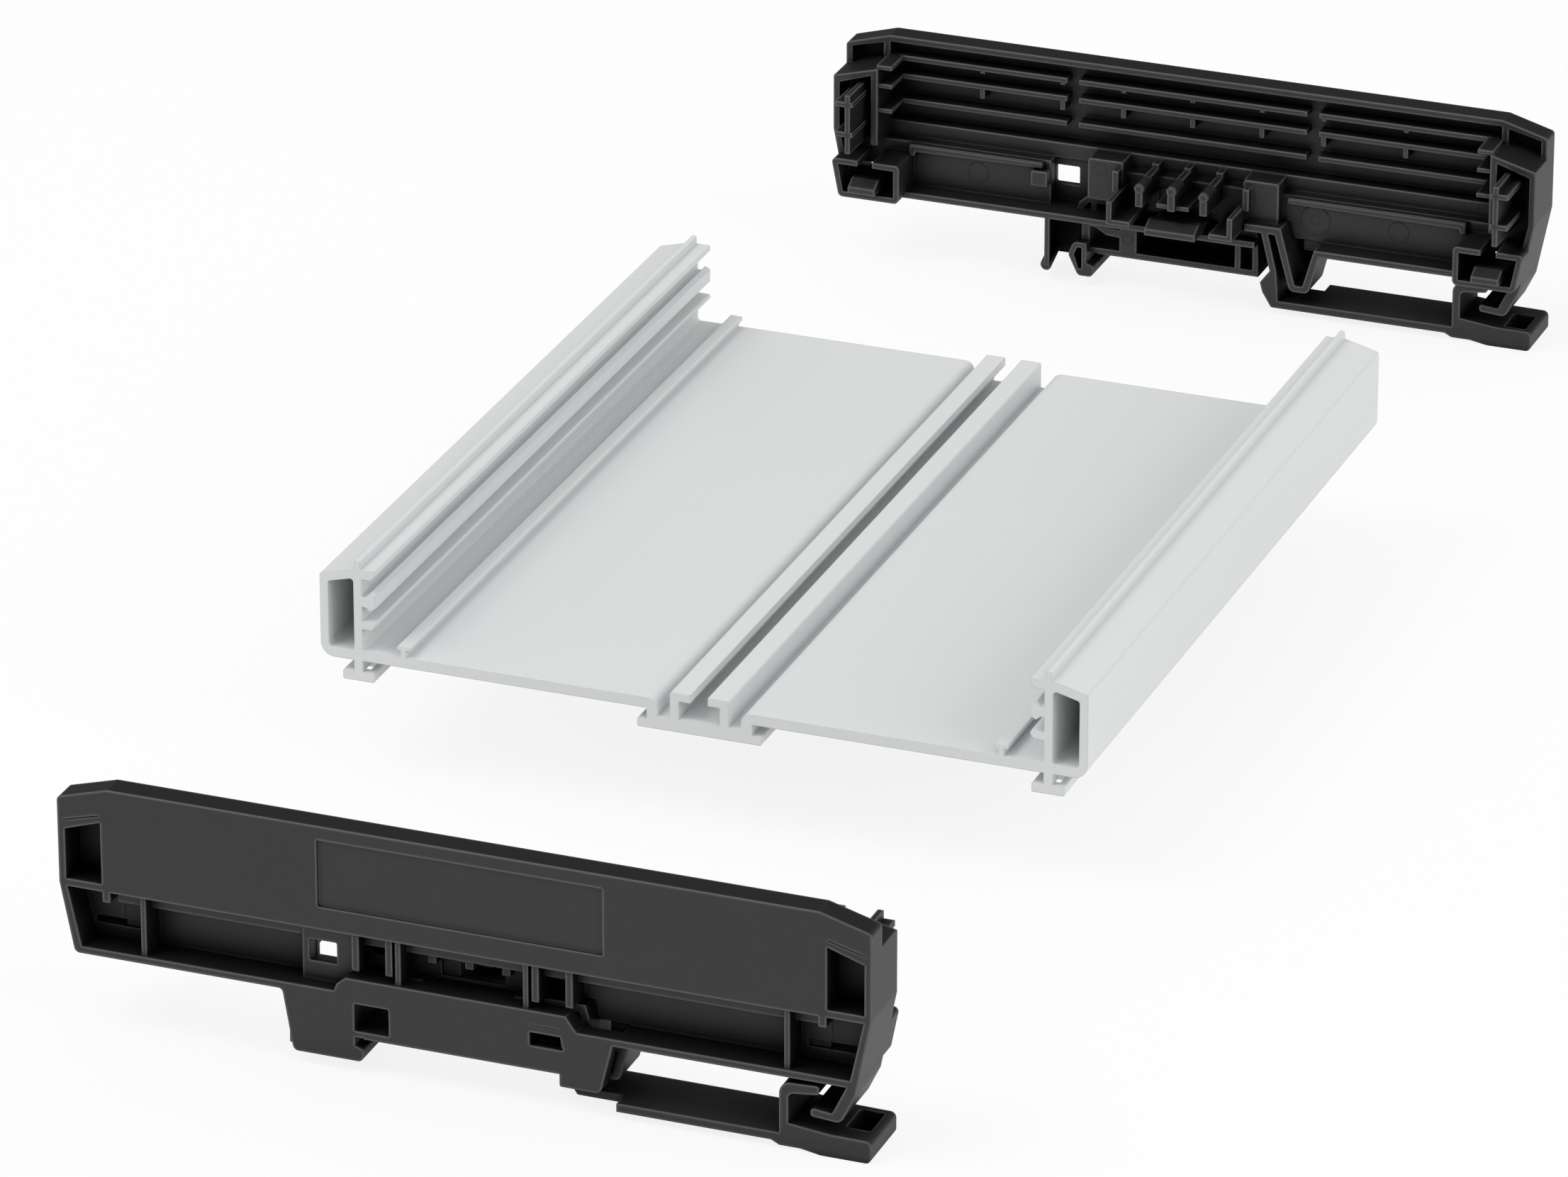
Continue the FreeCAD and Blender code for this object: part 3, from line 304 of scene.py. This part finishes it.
def pin_mark_tree():
    """A fine ring stands at every point of a mesh, as large as the point's radius says."""
    steps = {
        "start": "NodeGroupInput",
        "end": "NodeGroupOutput",
        "radius": "GeometryNodeInputNamedAttribute",
        "circle": "GeometryNodeCurvePrimitiveCircle",
        "section": "GeometryNodeCurvePrimitiveCircle",
        "tube": "GeometryNodeCurveToMesh",
        "turn": "GeometryNodeTransform",
        "set": "GeometryNodeInstanceOnPoints",
        "real": "GeometryNodeRealizeInstances",
        "paint": "GeometryNodeSetMaterial",
    }
    tree, nodes = ring_group("pin_marks", steps)
    nodes["radius"].data_type = "FLOAT"
    nodes["radius"].inputs["Name"].default_value = "ring_radius"
    nodes["circle"].inputs["Resolution"].default_value = RING_SIDES
    nodes["circle"].inputs["Radius"].default_value = 1.0
    nodes["section"].inputs["Resolution"].default_value = RIM_SIDES
    nodes["turn"].inputs["Rotation"].default_value = Euler((math.pi / 2, 0, 0))
    join = tree.links.new
    join(nodes["circle"].outputs["Curve"], nodes["tube"].inputs["Curve"])
    join(nodes["start"].outputs["Rim"], nodes["section"].inputs["Radius"])
    join(nodes["section"].outputs["Curve"], nodes["tube"].inputs["Profile Curve"])
    join(nodes["tube"].outputs["Mesh"], nodes["turn"].inputs["Geometry"])
    join(nodes["start"].outputs["Geometry"], nodes["set"].inputs["Points"])
    join(nodes["turn"].outputs["Geometry"], nodes["set"].inputs["Instance"])
    join(nodes["radius"].outputs["Attribute"], nodes["set"].inputs["Scale"])
    join(nodes["set"].outputs["Instances"], nodes["real"].inputs["Geometry"])
    join(nodes["real"].outputs["Geometry"], nodes["paint"].inputs["Geometry"])
    join(nodes["start"].outputs["Material"], nodes["paint"].inputs["Material"])
    join(nodes["paint"].outputs["Geometry"], nodes["end"].inputs["Geometry"])
    return tree


def add_piece(name, mesh, body):
    """A piece of a cover, carried by that cover's body."""
    piece = bpy.data.objects.new(name, mesh)
    bpy.context.scene.collection.objects.link(piece)
    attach(piece, body)


def pin_marks(name, rim_y, inward, body, material):
    """The ejector pin marks and the date mark of one cover, as one plain mesh."""
    marks = PIN_MARKS + [DATE_RING, DATE_CENTRE]
    mesh = bpy.data.meshes.new(name + "_points")
    points = [(x * MM, rim_y - inward * d * MM, COVER_DATUM + z * MM) for x, z, d, r in marks]
    mesh.from_pydata(points, [], [])
    radius = mesh.attributes.new("ring_radius", "FLOAT", "POINT")
    for item, mark in zip(radius.data, marks):
        item.value = mark[3] * MM
    holder = bpy.data.objects.new(name + "_points", mesh)
    bpy.context.scene.collection.objects.link(holder)
    tree = pin_mark_tree()
    modifier = holder.modifiers.new("marks", "NODES")
    modifier.node_group = tree
    inputs = {item.name: item.identifier for item in tree.interface.items_tree}
    modifier[inputs["Rim"]] = RIM_SHARE
    modifier[inputs["Material"]] = material
    graph = bpy.context.evaluated_depsgraph_get()
    plain = bpy.data.meshes.new_from_object(holder.evaluated_get(graph))
    bpy.data.objects.remove(holder)
    add_piece(name, plain, body)


def oblong(left, right, low, high):
    return [(left, low), (right, low), (right, high), (left, high)]


def ridge(start, end):
    """An angled ridge: level from its start, and turned down at its end."""
    side = math.copysign(RIDGE_THICK, start - end)
    low = RIDGE_TOP - RIDGE_THICK
    fall = RIDGE_TOP - RIDGE_FALL
    corners = [(start, RIDGE_TOP), (start, low), (end + side, low)]
    return corners + [(end + side, fall), (end, fall), (end, RIDGE_TOP)]


def circle(across, height, radius):
    turns = [2 * math.pi * i / BEAD_SIDES for i in range(BEAD_SIDES)]
    return [(across + radius * math.cos(t), height + radius * math.sin(t)) for t in turns]


def add_prism(form, first, last, depths, ends_only=False):
    """A closed form between two outlines of equal count, with softened edges."""
    rings = []
    for outline, depth in ((first, depths[0]), (last, depths[1])):
        rings.append([form.verts.new((x * MM, depth * MM, z * MM)) for x, z in outline])
    faces = [form.faces.new(rings[0]), form.faces.new(rings[1])]
    for i in range(len(first)):
        side = (rings[0][i - 1], rings[0][i], rings[1][i], rings[1][i - 1])
        faces.append(form.faces.new(side))
    soft = faces[:2] if ends_only else faces
    edges = {edge for face in soft for edge in face.edges}
    bmesh.ops.bevel(
        form,
        geom=list(edges),
        offset=EDGE_SOFT * MM,
        segments=EDGE_STEPS,
        affect="EDGES",
    )


def inner_forms(name, face_y, inward, body, material):
    """Webs, ridges and beads of one cover, as one mesh."""
    form = bmesh.new()
    for left, right, low, high, depth in WEBS:
        outline = oblong(left, right, low, high)
        add_prism(form, outline, outline, (depth, depth + WEB_THICK))
    for start, end in ((RIDGE_LEFT_START, -RIDGE_END), (RIDGE_RIGHT_START, RIDGE_END)):
        outline = ridge(start, end)
        add_prism(form, outline, outline, RIDGE_DEPTHS)
    for near_x, near_z, far_x, far_z, near, far, radius in BEADS:
        first = circle(near_x, near_z, radius)
        last = circle(far_x, far_z, radius)
        add_prism(form, first, last, (near, far), ends_only=True)
    bmesh.ops.remove_doubles(form, verts=form.verts, dist=SAME_CORNER * MM)
    for vertex in form.verts:
        vertex.co.y = face_y + inward * vertex.co.y
        vertex.co.z += COVER_DATUM
    bmesh.ops.recalc_face_normals(form, faces=form.faces)
    mesh = bpy.data.meshes.new(name)
    form.to_mesh(mesh)
    form.free()
    mesh.materials.append(material)
    add_piece(name, mesh, body)


def paint(node, material):
    """Give a carried-over node its finish."""
    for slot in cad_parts[node].material_slots:
        slot.material = material


def make_floor():
    """A wide table under the set."""
    corners = [(x, y, 0) for x, y in oblong(-FLOOR_REACH, FLOOR_REACH, -FLOOR_REACH, FLOOR_REACH)]
    mesh = bpy.data.meshes.new("floor")
    mesh.from_pydata(corners, [], [(0, 1, 2, 3)])
    floor = bpy.data.objects.new("floor", mesh)
    mesh.materials.append(table_white())
    bpy.context.scene.collection.objects.link(floor)


def make_lamp(name, place, size, power):
    """A soft square lamp that looks at the middle of the set."""
    data = bpy.data.lights.new(name, "AREA")
    data.shape = "SQUARE"
    data.size = size
    data.energy = power
    lamp = bpy.data.objects.new(name, data)
    lamp.location = place
    lamp.rotation_euler = (-Vector(place)).to_track_quat("-Z", "Y").to_euler()
    bpy.context.scene.collection.objects.link(lamp)


def make_world():
    """Even light all round, dim in mirrors and white to the camera."""
    world = bpy.data.worlds.new("studio")
    world.use_nodes = True
    tree = world.node_tree
    tree.nodes.clear()
    join = tree.links.new
    skies = []
    for strength in (SKY_LIGHT, SKY_MIRRORED, SKY_SEEN):
        sky = tree.nodes.new("ShaderNodeBackground")
        sky.inputs["Color"].default_value = WHITE
        sky.inputs["Strength"].default_value = strength
        skies.append(sky.outputs[0])
    path = tree.nodes.new("ShaderNodeLightPath")
    shown = skies[0]
    for ray, sky in (("Is Glossy Ray", skies[1]), ("Is Camera Ray", skies[2])):
        mix = tree.nodes.new("ShaderNodeMixShader")
        join(path.outputs[ray], mix.inputs[0])
        join(shown, mix.inputs[1])
        join(sky, mix.inputs[2])
        shown = mix.outputs[0]
    end = tree.nodes.new("ShaderNodeOutputWorld")
    join(shown, end.inputs["Surface"])
    bpy.context.scene.world = world


def make_camera():
    """The photograph's long lens, from the right and above."""
    data = bpy.data.cameras.new("camera")
    data.lens = CAMERA_LENS
    data.sensor_width = CAMERA_SENSOR
    data.clip_end = CAMERA_REACH
    camera = bpy.data.objects.new("camera", data)
    camera.location = CAMERA_PLACE
    tilt = math.radians(90 - CAMERA_ELEVATION)
    camera.rotation_euler = (tilt, 0, math.radians(CAMERA_AZIMUTH))
    bpy.context.scene.collection.objects.link(camera)
    bpy.context.scene.camera = camera


# The solids get their finishes, and the covers their added pieces
black = moulded_black()
paint("base_profile", extruded_grey())
paint("front_cover", black)
paint("rear_cover", black)
pin_marks("front_pin_marks", FRONT[0].y + COVER_DEPTH, 1, "front_end", black)
pin_marks("rear_pin_marks", REAR[1].y - COVER_DEPTH, -1, "rear_end", black)
inner_forms("front_inner_forms", FRONT[0].y, 1, "front_end", black)
inner_forms("rear_inner_forms", REAR[1].y, -1, "rear_end", black)

# The set round the part
make_floor()
make_world()
for lamp in LAMPS:
    make_lamp(*lamp)
make_camera()
bpy.context.scene.view_settings.view_transform = "Standard"
